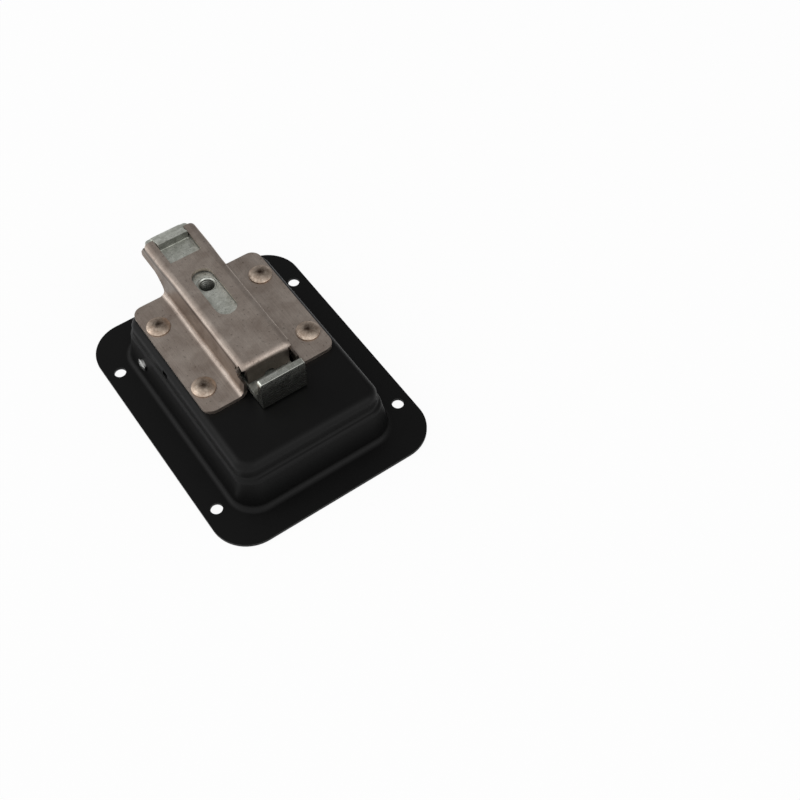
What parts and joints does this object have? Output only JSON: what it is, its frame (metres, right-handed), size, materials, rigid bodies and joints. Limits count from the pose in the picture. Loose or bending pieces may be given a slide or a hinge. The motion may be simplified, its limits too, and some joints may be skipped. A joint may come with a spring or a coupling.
{
  "type": "paddle handle latch",
  "caption": "Flush paddle latch: flanged black pan with a hinged paddle in front and a sprung sliding bolt in a riveted steel housing behind.",
  "frame": {"origin": "centre of the four mounting holes on the flange's front face", "axes": "+X across the latch, +Y towards the bolt's nose, +Z from the front face to the rear"},
  "size_m": [0.108, 0.1456, 0.0439],
  "materials": {
    "pan": "semi-matt black powder coat on steel sheet",
    "paddle": "semi-matt black powder coat on steel sheet",
    "housing": "satin steel sheet",
    "bolt": "zinc plate on steel",
    "rivets": "warm plated steel",
    "pin": "bright zinc plate",
    "spring": "spring steel wire"
  },
  "bodies": {
    "frame": {"pan": "pan", "bolt_housing": "housing", "housing_rivets": "rivets", "hinge_pin": "pin"},
    "handle": {"paddle": "paddle", "paddle_spring": "spring"},
    "bolt": {"latch_bolt": "bolt", "thread_bush": "bolt", "bolt_spring": "spring"}
  },
  "joints": [
    {"name": "paddle_swing", "type": "hinge", "parent": "frame", "child": "handle", "pos_m": [0, 0.0358, 0.01], "axis": [1, 0, 0], "range_deg": [0, 25.5], "stiffness_Nm_per_rad": 0.2, "springref_deg": -51.57, "deforming": ["paddle_spring"]},
    {"name": "bolt_slide", "type": "slide", "parent": "frame", "child": "bolt", "axis": [0, -1, 0], "range_m": [0, 0.011], "stiffness_N_per_m": 300, "springref_m": -0.01, "deforming": ["bolt_spring"]}
  ],
  "couplings": [
    {"joint": "bolt_slide", "follows": "paddle_swing", "m_per_rad": 0.024716}
  ]
}
